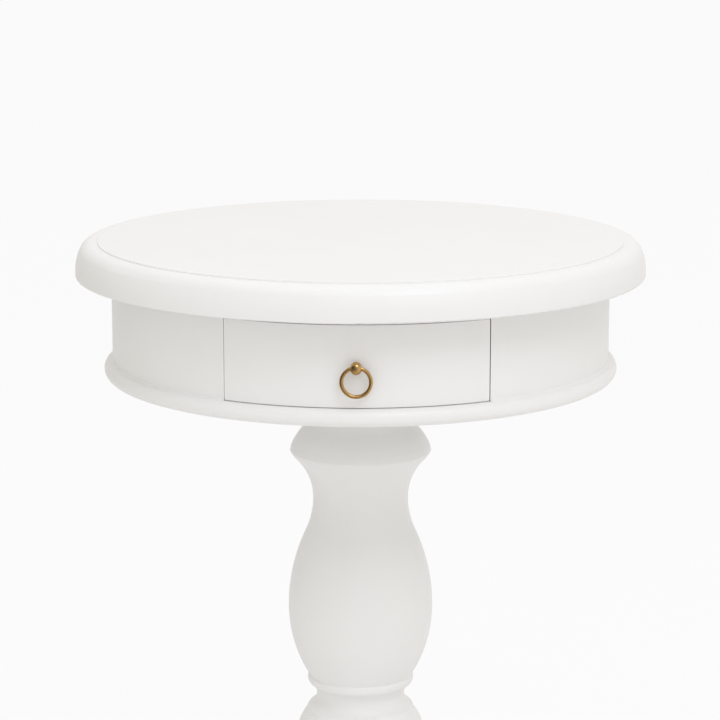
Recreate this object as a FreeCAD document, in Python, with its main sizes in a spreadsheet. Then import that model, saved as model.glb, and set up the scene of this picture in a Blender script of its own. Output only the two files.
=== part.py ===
"""Round pedestal side table with one drawer, in millimetres.

The origin is on the floor under the middle of the table, +Z is up and the drawer faces -Y.
Every size is a cell of the sheet "Sizes". What follows from the sizes, such as the height at
which a piece starts, is a named property of "Levels". Sketches, primitives and placements are
bound to both by expressions, so a changed cell changes the whole table.
"""
import FreeCAD, Part
import math
import os
import re
import Sketcher
from FreeCAD import Placement, Rotation, Vector

SIZES = [
    # Floor pads
    ("pad_radius", 14, "radius of a floor pad"),
    ("pad_thickness", 5, "thickness of a floor pad"),
    ("pad_edge_round", 1.2, "rounding of a pad's lower edge"),
    ("pad_inset", 16, "distance of the pads from the flat underside's edge"),
    ("pad_screw_sink", 1.4, "depth of a pad screw's head above the floor face"),
    ("pad_screw_bite", 14, "length of a pad screw in the plinth"),
    # Plinth
    ("plinth_radius", 180, "largest radius of the plinth"),
    ("plinth_edge_round", 2, "rounding of the lower edge"),
    ("plinth_land", 9, "upright part of the edge"),
    ("plinth_roll_height", 18, "height of the rolled edge"),
    ("plinth_roll_run", 16, "width of the rolled edge"),
    ("plinth_roll_share", 0.7, "tight radius of the roll as a share of its width"),
    ("plinth_quirk", 4, "flat ring between roll and step"),
    ("plinth_step", 2, "height of the step on top"),
    # Bell between plinth and column
    ("bell_foot_radius", 126, "radius at the plinth"),
    ("bell_foot_height", 6, "upright band at the plinth"),
    ("bell_shoulder_run", 13, "width of the rounded shoulder"),
    ("bell_shoulder_height", 10, "height of the rounded shoulder"),
    ("bell_shoulder_swell", 2.6, "swell of the rounded shoulder"),
    ("bell_sweep_height", 93, "height of the hollow sweep"),
    ("bell_sweep_hollow", 21, "depth of the hollow sweep"),
    ("bell_top_radius", 54, "radius under the column"),
    ("bell_top_height", 4, "upright band under the column"),
    ("bell_screw_inset", 50, "distance of the bell's screws from its foot's side"),
    # Turned column, from its foot to its top
    ("foot_radius", 50.8, "radius of the foot"),
    ("foot_height", 3.5, "height of the foot"),
    ("knob_radius", 55.9, "largest radius of the large ring"),
    ("knob_height", 19.6, "height from the foot to the large ring's widest place"),
    ("knob_round_inset", 0.7, "width of the large ring's upper round"),
    ("knob_round_height", 3, "height of the large ring's upper round"),
    ("knob_dome_height", 10.6, "height of the dome over the large ring"),
    ("knob_dome_swell", 0.4, "swell of the dome over the large ring"),
    ("ledge_radius", 48.8, "radius of the ledge over the dome"),
    ("ledge_inset", 2, "width of the ledge's rounded edge"),
    ("ledge_round_height", 4.3, "height of the ledge's rounded edge"),
    ("ledge_round_swell", 0.4, "swell of the ledge's rounded edge"),
    ("cove_height", 21, "height of the cove"),
    ("cove_hollow", 6.3, "depth of the cove"),
    ("bead_foot_radius", 44.9, "radius under the bead"),
    ("bead_height", 9.2, "height of the bead"),
    ("bead_swell", 2, "swell of the bead"),
    ("vase_foot_radius", 46.7, "radius at the bottom of the vase"),
    ("vase_lower_height", 64, "height from the bead to the belly"),
    ("belly_radius", 64.9, "largest radius of the vase"),
    ("vase_upper_height", 100.1, "height from the belly to the neck"),
    ("neck_share", 0.31, "place where the curve turns over, as a share from neck to belly"),
    ("neck_radius", 42.5, "smallest radius of the vase"),
    ("neck_height", 37.9, "height from the neck to the collar"),
    ("collar_radius", 63, "largest radius of the collar, at its edge"),
    ("collar_overhang", 4.1, "overhang of the collar over its lower side"),
    ("collar_lower_height", 6.2, "height of the collar's round under its edge"),
    ("collar_lower_swell", 0.3, "swell of the collar's round under its edge"),
    ("collar_round_inset", 1.6, "width of the collar's round over its edge"),
    ("collar_round_height", 5.6, "height of the collar's round over its edge"),
    ("collar_round_swell", 0.15, "swell of the collar's round over its edge"),
    ("dome_height", 15.9, "height of the dome over the collar"),
    ("dome_swell", 0.9, "swell of the dome over the collar"),
    ("dome_top_radius", 50, "radius where the dome turns into the stem"),
    ("stem_sweep_height", 13.3, "height of the hollow between dome and stem"),
    ("stem_radius", 44.5, "radius of the stem"),
    ("stem_height", 14.4, "height of the stem"),
    # Mounting disc between column and drum
    ("cap_radius", 80, "radius of the mounting disc"),
    ("cap_thickness", 22, "thickness of the mounting disc"),
    ("cap_edge_round", 4, "rounding of its lower edge"),
    ("cap_screw_inset", 20, "distance of its screws from its side"),
    ("cap_screw_bite", 11, "length of its screws in the drum floor"),
    # Tie rod through bell and column
    ("rod_radius", 5, "radius of the tie rod"),
    ("rod_clearance", 0.3, "play of the rod in its bore"),
    ("rod_stub", 1, "end of the rod past its nut"),
    ("rod_cover", 1, "depth of the rod's end in its recess"),
    ("nut_across", 17, "width of the rod's nut over its flats"),
    ("nut_thickness", 8, "height of the rod's nut"),
    ("washer_radius", 10.5, "outer radius of the rod's washer"),
    ("washer_thickness", 2, "thickness of the rod's washer"),
    ("recess_clearance", 2.5, "play of a washer in its recess"),
    ("thread_clearance", 0.1, "play of a nut or washer on its thread"),
    # Locating dowels of the column
    ("dowel_radius", 4, "radius of a locating dowel"),
    ("dowel_length", 30, "length of a locating dowel"),
    ("dowel_inset", 17, "distance of the dowels from the stem's side"),
    # Drum
    ("floor_board_thickness", 15, "thickness of the drum's floor board"),
    ("bead_overhang", 7.4, "overhang of the floor board's rounded edge"),
    ("apron_radius", 218.9, "outer radius of the curved wall"),
    ("apron_wall", 14, "thickness of the curved wall"),
    ("apron_height", 75, "height of the curved wall"),
    ("top_rail_height", 6, "strip of wall over the drawer"),
    ("block_depth", 22, "depth of a corner block"),
    ("block_width", 40, "width of a corner block"),
    ("block_height", 22, "height of a corner block"),
    ("block_gap", 16, "gap between a front corner block and a runner"),
    ("block_top_bite", 14, "length of an upper block's screw in the table top"),
    ("block_floor_bite", 15, "length of a lower block's screw in the block"),
    # Table top
    ("top_radius", 250, "largest radius of the table top"),
    ("top_edge_round", 1.4, "rounding of the lower edge"),
    ("top_land", 3.4, "upright part of the edge"),
    ("top_roll_height", 24.6, "height of the rolled edge"),
    ("top_roll_run", 15, "width of the rolled edge"),
    ("top_roll_share", 0.82, "tight radius of the roll as a share of its width"),
    ("top_quirk", 4.3, "flat ring between roll and step"),
    ("top_step", 1, "height of the step on top"),
    # Drawer
    ("drawer_gap", 0.45, "gap round the drawer front"),
    ("opening_shift", 0.2, "offset of the opening to the right of the drawer front"),
    ("cheek_width", 110.8, "width of the wall beside the drawer front, seen from the front"),
    ("drawer_front_edge", 9, "thickness of the drawer front at its ends"),
    ("front_corner_round", 1.1, "rounding of the drawer front's four corners"),
    ("drawer_front_lip", 10.1, "overhang of the drawer front past a drawer side"),
    ("drawer_side_thickness", 10, "thickness of a drawer side and back"),
    ("drawer_side_drop", 7.7, "distance of a drawer side's top from the strip over the drawer"),
    ("drawer_side_length", 260, "length of a drawer side"),
    ("drawer_stay", 60, "length of the sides that stays inside when the drawer is open"),
    ("panel_thickness", 4, "thickness of the drawer's bottom panel"),
    ("panel_clearance", 0.15, "play of the panel in its groove"),
    ("groove_depth", 5, "depth of the groove for the panel"),
    ("groove_rise", 6, "height of the groove over the side's lower edge"),
    ("front_dowel_radius", 3, "radius of a dowel in the drawer front"),
    ("front_dowel_length", 24, "length of a dowel in the drawer front"),
    ("front_dowel_low", 17, "height of the lower dowel over the side's lower edge"),
    ("front_dowel_drop", 12, "distance of the upper dowel from the side's top"),
    ("back_screw_bite", 18, "length of a side screw in the drawer back"),
    ("panel_screw_bite", 12, "length of a panel screw in the drawer back"),
    ("panel_screw_inset", 43, "distance of the outer panel screws from the box's side"),
    # Runners, kickers and stops
    ("runner_ledge", 4, "thickness of the ledge that carries a drawer side"),
    ("runner_clearance", 0.3, "play under a drawer side"),
    ("guide_clearance", 0.8, "play beside a drawer side"),
    ("runner_ledge_width", 14, "width of the ledge"),
    ("runner_guide_width", 12, "width of the runner's upright guide"),
    ("runner_guide_height", 20, "height of the runner's upright guide"),
    ("runner_end_gap", 7.4, "gap between the rails' front ends and the curved wall"),
    ("runner_tail", 6, "overhang of the rails past the closed drawer's back"),
    ("runner_screw_bite", 10, "length of a runner screw in the floor board"),
    ("kicker_width", 20, "width of the rail over a drawer side"),
    ("kicker_clearance", 0.8, "play over a drawer side"),
    ("kicker_screw_bite", 14, "length of a kicker screw in the table top"),
    ("stop_width", 60, "width of a stop block"),
    ("stop_thickness", 12, "thickness of a stop block"),
    ("stop_overlap", 5, "overlap of the front stop and the drawer back"),
    ("stop_clearance", 0.3, "play between a stop and the drawer back"),
    ("rear_stop_height", 20, "height of the rear stop block"),
    ("rail_screw_inset", 30, "distance of rail screws from the rail's ends"),
    ("stop_screw_inset", 12, "distance of stop screws from the block's ends"),
    # Screws
    ("screw_radius", 2, "shank radius of the wood screws"),
    ("screw_head_radius", 3.8, "head radius of the wood screws"),
    ("screw_head_height", 2.2, "height of the countersunk heads"),
    ("screw_tip", 3, "length of the pointed tip"),
    ("drive_radius", 1.6, "radius of the drive recess"),
    ("drive_depth", 1.4, "depth of the drive recess"),
    ("small_screw_radius", 1.5, "shank radius of the drawer's screws"),
    ("small_screw_head_radius", 2.9, "head radius of the drawer's screws"),
    ("small_screw_head_height", 1.7, "height of the heads of the drawer's screws"),
    ("hole_clearance", 0.15, "play of a screw or dowel in its hole"),
    ("glue_line", 0.1, "thickness of glue behind a corner block"),
    # Ring pull
    ("pull_drop", 0.1, "distance of the pull under the middle of the drawer front"),
    ("post_radius", 3.2, "radius of the post behind its head"),
    ("head_radius", 4.8, "radius of the egg-shaped head at its eye"),
    ("head_shoulder_radius", 3.68, "radius of the head where its rounded ends begin"),
    ("head_shoulder_height", 3.53, "height of the head's shoulder over the middle of its eye"),
    ("head_end_height", 1.92, "height of one of the head's rounded ends"),
    ("eye_distance", 6.3, "distance of the ring's eye from the drawer front"),
    ("eye_clearance", 0.3, "play of the ring in its eye"),
    ("ring_radius", 11.9, "radius of the ring at the middle of its wire"),
    ("wire_radius", 1.65, "radius of the ring's wire"),
    ("ring_seam", 0.15, "width of the butt joint in the ring"),
    ("stud_radius", 2, "radius of the post's threaded stud"),
    ("stud_end", 1, "end of the stud past its nut"),
    ("pull_pocket_radius", 7, "radius of the pocket behind the drawer front"),
    ("pull_pocket_depth", 16, "depth of the pocket behind the drawer front"),
    ("pull_nut_across", 7, "width of the pull's nut over its flats"),
    ("pull_nut_thickness", 3.2, "height of the pull's nut"),
    ("pull_washer_radius", 4.5, "outer radius of the pull's washer"),
    ("pull_washer_thickness", 1, "thickness of the pull's washer"),
    # For all pieces
    ("eased_edge", 0.6, "rounding of an eased edge"),
    ("overrun", 2, "how far a cut runs past the face that it opens"),
]

# What follows from the sizes. Heights are over the floor, and distances are from the axis.
LEVELS = [
    ("plinth_base", "pad_thickness"),
    ("plinth_land_top", "plinth_base + plinth_edge_round + plinth_land"),
    ("plinth_ring_top", "plinth_land_top + plinth_roll_height"),
    ("plinth_top", "plinth_ring_top + plinth_step"),
    ("bell_band_top", "plinth_top + bell_foot_height"),
    ("bell_sweep_base", "bell_band_top + bell_shoulder_height"),
    ("bell_sweep_top", "bell_sweep_base + bell_sweep_height"),
    ("bell_top", "bell_sweep_top + bell_top_height"),
    ("foot_top", "bell_top + foot_height"),
    ("knob_level", "foot_top + knob_height"),
    ("knob_shoulder", "knob_level + knob_round_height"),
    ("knob_top", "knob_shoulder + knob_dome_height"),
    ("cove_base", "knob_top + ledge_round_height"),
    ("cove_top", "cove_base + cove_height"),
    ("bead_top", "cove_top + bead_height"),
    ("belly_level", "bead_top + vase_lower_height"),
    ("neck_level", "belly_level + vase_upper_height"),
    ("collar_base", "neck_level + neck_height"),
    ("collar_level", "collar_base + collar_lower_height"),
    ("collar_shoulder", "collar_level + collar_round_height"),
    ("dome_top", "collar_shoulder + dome_height"),
    ("stem_base", "dome_top + stem_sweep_height"),
    ("column_top", "stem_base + stem_height"),
    ("cap_top", "column_top + cap_thickness"),
    ("floor_top", "cap_top + floor_board_thickness"),
    ("apron_top", "floor_top + apron_height"),
    ("top_land_top", "apron_top + top_edge_round + top_land"),
    ("top_ring_top", "top_land_top + top_roll_height"),
    ("table_top", "top_ring_top + top_step"),
    ("pad_circle", "plinth_radius - plinth_edge_round - pad_inset - pad_radius"),
    ("bell_screw_circle", "bell_foot_radius - bell_screw_inset"),
    ("cap_screw_circle", "cap_radius - cap_screw_inset"),
    ("dowel_circle", "stem_radius - dowel_inset"),
    ("bore_radius", "rod_radius + rod_clearance"),
    ("recess_radius", "washer_radius + recess_clearance"),
    ("recess_depth", "washer_thickness + nut_thickness + rod_stub + rod_cover"),
    ("rod_base", "plinth_base + rod_cover"),
    ("rod_top", "cap_top - rod_cover"),
    ("apron_inner", "apron_radius - apron_wall"),
    ("opening_top", "apron_top - top_rail_height"),
    ("front_base", "floor_top + drawer_gap"),
    ("front_height", "opening_top - drawer_gap - front_base"),
    ("front_half", "apron_radius - cheek_width"),
    ("front_corner", "sqrt(apron_radius ^ 2 - front_half ^ 2)"),
    ("box_front", "front_corner - drawer_front_edge"),
    ("box_half", "front_half - drawer_front_lip"),
    ("side_base", "floor_top + runner_ledge + runner_clearance"),
    ("side_top", "opening_top - drawer_side_drop"),
    ("groove_base", "side_base + groove_rise"),
    ("groove_height", "panel_thickness + 2 * panel_clearance"),
    ("panel_base", "groove_base + panel_clearance"),
    ("panel_top", "panel_base + panel_thickness"),
    ("panel_screw_x", "box_half - panel_screw_inset"),
    ("box_back", "drawer_side_length - box_front"),
    ("back_face", "box_back - drawer_side_thickness"),
    ("back_middle", "box_back - drawer_side_thickness / 2"),
    ("drawer_travel", "drawer_side_length - drawer_stay"),
    ("stop_back", "drawer_travel + stop_clearance - back_face"),
    ("stop_base", "side_top - stop_overlap"),
    ("kicker_base", "side_top + kicker_clearance"),
    ("guide_inner", "box_half + guide_clearance"),
    ("guide_outer", "guide_inner + runner_guide_width"),
    ("rail_front", "sqrt(apron_inner ^ 2 - guide_outer ^ 2) - runner_end_gap"),
    ("rail_back", "box_back + runner_tail"),
    ("rail_length", "rail_front + rail_back"),
    ("block_reach", "apron_inner - block_depth"),
    ("block_diagonal", "sqrt(block_reach ^ 2 + (block_width / 2) ^ 2)"),
    ("block_turn", "acos((guide_outer + block_gap) / block_diagonal)"
                   " - atan(block_width / 2 / block_reach)"),
    ("eye_drop", "(ring_radius - sqrt(ring_radius ^ 2 - head_radius ^ 2)) / 2"),
    ("eye_radius", "wire_radius + eye_drop + eye_clearance"),
    ("pull_level", "front_base + front_height / 2 - pull_drop"),
    ("ring_level", "pull_level - ring_radius + eye_drop"),
    ("ring_distance", "apron_radius + eye_distance"),
    ("pocket_floor", "box_front + pull_pocket_depth"),
    ("stud_inner", "pocket_floor - pull_washer_thickness - pull_nut_thickness - stud_end"),
    ("stud_length", "apron_radius - stud_inner"),
]

# Counts, and angles in degrees. They are seen from above and counted from the right.
PAD_COUNT = 4
PAD_ANGLE = 45
BELL_SCREW_COUNT = 4
CAP_SCREW_COUNT = 6
CAP_SCREW_ANGLE = 30
BLOCK_ANGLES = ("-block_turn", 5, 55, 125, 175, "180 + block_turn")
SEAM_ANGLE = 11
HEX_SIDES = 6

doc = FreeCAD.newDocument("SideTable")
sheet = doc.addObject("Spreadsheet::Sheet", "Sizes")
levels = doc.addObject("App::VarSet", "Levels")
home = {}
nodes = []


def fill_sheet():
    """Write each size, its name and its remark into a row of the sheet."""
    for row, (name, number, remark) in enumerate(SIZES, start=1):
        sheet.set(f"A{row}", name)
        sheet.set(f"B{row}", str(number))
        sheet.set(f"C{row}", remark)
        sheet.setAlias(f"B{row}", name)
        home[name] = "Sizes." + name
    doc.recompute()


def fill_levels():
    """Make a bound property of each derived value."""
    for name, formula in LEVELS:
        levels.addProperty("App::PropertyFloat", name)
        levels.setExpression(name, bound(formula))
        home[name] = "Levels." + name
    doc.recompute()


def bound(formula):
    """Return the formula with every name's home in front of it."""
    return re.sub(r"[a-z_]{4,}", lambda word: home.get(word.group(), word.group()), str(formula))


def number(formula):
    """Return what a formula comes to now."""
    return float(sheet.evalExpression(bound(formula)))


def bind(thing, name, formula):
    """Bind one property of an object to a formula."""
    thing.setExpression(name, bound(formula))


def place(thing, x=0, y=0, z=0, rotation=None):
    """Put an object at a point given by formulas.

    It gets a fixed rotation, or is turned about the upright axis by a formula in degrees.
    """
    if isinstance(rotation, str):
        thing.Placement = Placement(Vector(), Rotation(Vector(0, 0, 1), number(rotation)))
        bind(thing, "Placement.Rotation.Angle", rotation)
    else:
        thing.Placement = Placement(Vector(), rotation or Rotation())
    for axis, formula in zip("xyz", (x, y, z)):
        if formula != 0:
            bind(thing, "Placement.Base." + axis, formula)
    return thing


def keep(thing):
    """Make an object one of the table's pieces, labelled with its own name."""
    thing.Label = thing.Name
    nodes.append(thing)
    return thing


def plane_of(body, role):
    """Return one of a body's own origin planes."""
    return [feature for feature in body.Origin.OriginFeatures if feature.Role == role][0]


def pin(sketch, axis, geometry, point, formula):
    """Fix one coordinate of a sketch point to a formula."""
    reach = number(formula)
    if abs(reach) < 1e-9:
        axis_line = -2 if axis == "X" else -1
        sketch.addConstraint(Sketcher.Constraint("PointOnObject", geometry, point, axis_line))
        return
    if reach > 0:
        ends = (-1, 1, geometry, point)
        text = formula
    else:
        ends = (geometry, point, -1, 1)
        text = f"-({formula})"
    index = sketch.addConstraint(Sketcher.Constraint("Distance" + axis, *ends, abs(reach)))
    sketch.setExpression(f"Constraints[{index}]", bound(text))


def arc_centre(here, there, shape):
    """Return the formulas of an arc's centre.

    The shape is a swell to the right of the way from here to there, or says at which end the
    arc runs upright or level.
    """
    (x1, y1), (x2, y2) = here, there
    dx, dy = f"(({x2})-({x1}))", f"(({y2})-({y1}))"
    square = f"({dx}^2+{dy}^2)"
    if shape == "upright here":
        return f"({x1})+{square}/(2*{dx})", y1
    if shape == "upright there":
        return f"({x2})-{square}/(2*{dx})", y2
    if shape == "level here":
        return x1, f"({y1})+{square}/(2*{dy})"
    if shape == "level there":
        return x2, f"({y2})-{square}/(2*{dy})"
    factor = f"(({square}/4-({shape})^2)/(2*({shape})*sqrt({square})))"
    return f"(({x1})+({x2}))/2-{dy}*{factor}", f"(({y1})+({y2}))/2+{dx}*{factor}"


def draw_outline(body, name, plane, corners):
    """Draw a closed outline of lines and arcs, with every corner bound to its formulas.

    A corner is (x, y) before a straight edge, or (x, y, shape) before an arc.
    """
    sketch = body.newObject("Sketcher::SketchObject", name)
    sketch.AttachmentSupport = [(plane_of(body, plane), "")]
    sketch.MapMode = "FlatFace"
    edges = []
    for corner, following in zip(corners, corners[1:] + corners[:1]):
        here, there = corner[:2], following[:2]
        start = Vector(number(here[0]), number(here[1]), 0)
        end = Vector(number(there[0]), number(there[1]), 0)
        if len(corner) == 2:
            edges.append((sketch.addGeometry(Part.LineSegment(start, end)), 1, 2, None))
            continue
        centre = arc_centre(here, there, corner[2])
        middle = Vector(number(centre[0]), number(centre[1]), 0)
        turn = (start - middle).cross(end - middle).z
        if corner[2] in ("upright here", "upright there", "level here", "level there"):
            leftward = turn > 0
        else:
            leftward = number(corner[2]) > 0
        first, last = (start, end) if leftward else (end, start)
        circle = Part.Circle(middle, Vector(0, 0, 1), (start - middle).Length)
        arc = Part.ArcOfCircle(circle, circle.parameter(first), circle.parameter(last))
        steep = abs(end.y - start.y) >= abs(end.x - start.x)
        held = ("X", centre[0]) if steep else ("Y", centre[1])
        ends = (1, 2) if leftward else (2, 1)
        edges.append((sketch.addGeometry(arc), *ends, held))
    for edge, following in zip(edges, edges[1:] + edges[:1]):
        sketch.addConstraint(Sketcher.Constraint("Coincident", edge[0], edge[2], *following[:2]))
    for edge, corner in zip(edges, corners):
        pin(sketch, "X", edge[0], edge[1], corner[0])
        pin(sketch, "Y", edge[0], edge[1], corner[1])
        if edge[3]:
            pin(sketch, edge[3][0], edge[0], 3, edge[3][1])
    return sketch


def turned(name, corners):
    """Turn an outline, drawn as radius and height, about the upright axis."""
    body = doc.addObject("PartDesign::Body", name)
    sketch = draw_outline(body, name + "_outline", "XZ_Plane", corners)
    turning = body.newObject("PartDesign::Revolution", name + "_turning")
    turning.Profile = sketch
    turning.ReferenceAxis = (sketch, ["V_Axis"])
    turning.Angle = 360
    return body


def padded(name, plane, corners, length):
    """Pad an outline by a length on one side of its plane."""
    body = doc.addObject("PartDesign::Body", name)
    sketch = draw_outline(body, name + "_outline", plane, corners)
    pad = body.newObject("PartDesign::Pad", name + "_pad")
    pad.Profile = sketch
    bind(pad, "Length", length)
    return body


def round_edges(body, name, radius, chosen):
    """Round those edges of a body that a test picks, by a radius given as a formula."""
    doc.recompute()
    whole = body.Tip
    rounding = body.newObject("PartDesign::Fillet", f"{body.Name}_{name}")
    rounding.Base = (whole, [f"Edge{index}" for index, edge in enumerate(
        whole.Shape.Edges, start=1) if chosen(edge)])
    bind(rounding, "Radius", radius)


def runs_back(edge):
    """Tell whether an edge runs straight back from the front."""
    first, last = (vertex.Point for vertex in edge.Vertexes)
    way = last - first
    return math.isclose(abs(way.y), way.Length, rel_tol=1e-6)


def faces_out(edge):
    """Tell whether an edge lies on the outer side of the drum."""
    return all(math.isclose(math.hypot(vertex.X, vertex.Y), number("apron_radius"), rel_tol=1e-6)
               for vertex in edge.Vertexes)


def box(name, x, y, z, length, width, height):
    """Make a box from its lowest corner and its size along X, Y and Z."""
    solid = doc.addObject("Part::Box", name)
    bind(solid, "Length", length)
    bind(solid, "Width", width)
    bind(solid, "Height", height)
    return place(solid, x, y, z)


def cylinder(name, radius, height, x=0, y=0, z=0, rotation=None):
    """Make a cylinder that stands on a point along its own axis."""
    solid = doc.addObject("Part::Cylinder", name)
    bind(solid, "Radius", radius)
    bind(solid, "Height", height)
    return place(solid, x, y, z, rotation)


def cut(name, base, tool):
    """Cut a tool out of a base."""
    result = doc.addObject("Part::Cut", name)
    result.Base = base
    result.Tool = tool
    return result


def gather(name, things):
    """Keep several separate solids together as one object."""
    group = doc.addObject("Part::Compound", name)
    group.Links = things
    return group


def joined(name, things):
    """Fuse solids that run into each other."""
    whole = doc.addObject("Part::MultiFuse", name)
    whole.Shapes = things
    return whole


def copies(name, master, spots):
    """Put a copy of a master at each spot of (x, y, z, rotation), and gather them."""
    links = []
    for index, (x, y, z, rotation) in enumerate(spots, start=1):
        link = doc.addObject("App::Link", f"{name}_{index}")
        link.LinkedObject = master
        links.append(place(link, x, y, z, rotation))
    return gather(name, links)


# Headings: the turn that sends an upright piece that way, and how to step back along it.
HEADINGS = {
    "up": (Rotation(), "z", "-"),
    "down": (Rotation(Vector(1, 0, 0), 180), "z", "+"),
    "front": (Rotation(Vector(1, 0, 0), 90), "y", "+"),
    "right": (Rotation(Vector(0, 1, 0), 90), "x", "-"),
    "left": (Rotation(Vector(0, 1, 0), -90), "x", "+"),
}
UP = HEADINGS["up"][0]
TO_FRONT = HEADINGS["front"][0]
TO_RIGHT = HEADINGS["right"][0]


def stepped_back(spots, way):
    """Turn spots of (x, y, z, heading) into places a way back along each heading."""
    places = []
    for x, y, z, heading in spots:
        rotation, axis, sign = HEADINGS[heading]
        at = {"x": x, "y": y, "z": z}
        at[axis] = f"({at[axis]}) {sign} ({way})"
        places.append((at["x"], at["y"], at["z"], rotation))
    return places


def screw_set(name, length, spots, size="screw", lead="overrun"):
    """Make identical countersunk screws, and the tool that cuts their holes.

    A spot is the middle of a head's face and the heading of the tip. The lead is how far the
    tool runs back from the head's face.
    """
    shank, head, height = size + "_radius", size + "_head_radius", size + "_head_height"
    screw = turned(name + "_form", [
        (0, "drive_depth"), ("drive_radius", 0), (head, 0), (shank, height),
        (shank, f"{length} - screw_tip"), (0, length)])
    wide, narrow = head + " + hole_clearance", shank + " + hole_clearance"
    end = f"{lead} + {length} + hole_clearance"
    drill = turned(name + "_drill", [
        (0, 0), (wide, 0), (wide, lead), (narrow, f"{lead} + {height}"), (narrow, end), (0, end)])
    screws = copies(name, screw, stepped_back(spots, "0"))
    return keep(screws), copies(name + "_drills", drill, stepped_back(spots, lead))


def dowel_set(name, radius, length, spots):
    """Make identical dowels with their middles on spots, and the tool that cuts their holes."""
    dowel = cylinder(name + "_form", radius, length)
    drill = cylinder(name + "_drill", f"{radius} + hole_clearance", f"{length} + 2 * hole_clearance")
    dowels = copies(name, dowel, stepped_back(spots, f"{length} / 2"))
    drills = copies(name + "_drills", drill, stepped_back(spots, f"{length} / 2 + hole_clearance"))
    return keep(dowels), drills


def ring_spots(angles, distance, height, heading):
    """Return spots on a circle about the axis, at angles counted from the right."""
    return [(f"{distance} * cos({angle})", f"{distance} * sin({angle})", height, heading)
            for angle in angles]


def even_angles(count, first=0):
    """Return evenly spaced angles."""
    return [first + 360 * index / count for index in range(count)]


def rolled_board(name, board, base, hollow):
    """Turn a round board whose edge has a land, a roll, a flat ring and a step on top.

    The board is the first word of the names of its sizes, and hollow is the list of corners on
    the inner side of its outline, from the top down.
    """
    radius, run, roll = f"{board}_radius", f"{board}_roll_run", f"{board}_roll_height"
    tight = f"({board}_roll_share * {run})"
    wide = f"(({run}^2 + ({roll} - {tight})^2 - {tight}^2) / (2 * ({run} - {tight})))"
    reach = f"({tight} / ({wide} - {tight}))"
    ring_top = f"{board}_ring_top"
    turn_r = f"{radius} - {run} + ({wide} - {run}) * {reach}"
    turn_z = f"{ring_top} - {tight} + ({roll} - {tight}) * {reach}"
    inner = f"{radius} - {run} - {board}_quirk"
    edge = f"{board}_edge_round"
    return turned(name, hollow[-1:] + [
        (f"{radius} - {edge}", base, "level here"),
        (radius, f"{base} + {edge}"),
        (radius, f"{board}_land_top", "upright here"),
        (turn_r, turn_z, "level there"),
        (f"{radius} - {run}", ring_top),
        (inner, ring_top),
        (inner, f"{ring_top} + {board}_step - eased_edge", "upright here"),
        (f"{inner} - eased_edge", f"{ring_top} + {board}_step")] + hollow[:-1])


def bored(name, blank, thickness, hole):
    """Bore a blank that stands on the origin right through."""
    bore = cylinder(name + "_bore", hole, f"{thickness} + 2 * overrun", z="-overrun")
    return cut(name, blank, bore)


def hex_nut(name, across, thickness, hole):
    """Make a six-sided nut standing on the origin."""
    prism = doc.addObject("Part::Prism", name + "_blank")
    prism.Polygon = HEX_SIDES
    bind(prism, "Circumradius", f"{across} / 2 / cos({180 / HEX_SIDES})")
    bind(prism, "Height", thickness)
    return bored(name, prism, thickness, hole)


def washer(name, radius, thickness, hole):
    """Make a flat washer standing on the origin."""
    return bored(name, cylinder(name + "_blank", radius, thickness), thickness, hole)


fill_sheet()
fill_levels()

# Foot pads, screwed under the plinth
pad_spots = ring_spots(even_angles(PAD_COUNT, PAD_ANGLE), "pad_circle", "pad_screw_sink", "up")
pad_screws, pad_drills = screw_set(
    "pad_screws", "(pad_thickness - pad_screw_sink + pad_screw_bite)", pad_spots,
    lead="(pad_screw_sink + overrun)")
pad = turned("pad_form", [
    (0, 0), ("pad_radius - pad_edge_round", 0, "level here"),
    ("pad_radius", "pad_edge_round"), ("pad_radius", "pad_thickness"), (0, "pad_thickness")])
pads = copies("pad_blanks", pad, stepped_back(pad_spots, "pad_screw_sink"))
keep(cut("foot_pads", pads, pad_drills))

# Plinth: the round board on the floor, with a recess under it for the tie rod's nut
bell_screws, bell_drills = screw_set(
    "bell_screws", "(bell_sweep_base - plinth_base)",
    ring_spots(even_angles(BELL_SCREW_COUNT), "bell_screw_circle", "plinth_base", "up"))
plinth = rolled_board("plinth_turned", "plinth", "plinth_base", [
    ("bore_radius", "plinth_top"), ("bore_radius", "plinth_base + recess_depth"),
    ("recess_radius", "plinth_base + recess_depth"), ("recess_radius", "plinth_base")])
keep(cut("base_plinth", plinth, gather("plinth_holes", [pad_drills, bell_drills])))

# Dowels that centre the column on the bell and the mounting disc on the column
column_dowels, dowel_drills = dowel_set("column_dowels", "dowel_radius", "dowel_length", [
    (side + "dowel_circle", 0, level, "up")
    for level in ("bell_top", "column_top") for side in ("", "-")])

# Bell: the hollow sweep from the plinth to the column
bell = turned("bell_turned", [
    ("bore_radius", "plinth_top"), ("bell_foot_radius", "plinth_top"),
    ("bell_foot_radius", "bell_band_top", "bell_shoulder_swell"),
    ("bell_foot_radius - bell_shoulder_run", "bell_sweep_base", "-bell_sweep_hollow"),
    ("bell_top_radius", "bell_sweep_top"), ("bell_top_radius", "bell_top"),
    ("bore_radius", "bell_top")])
keep(cut("base_bell", bell, gather("bell_holes", [bell_drills, dowel_drills])))

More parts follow.
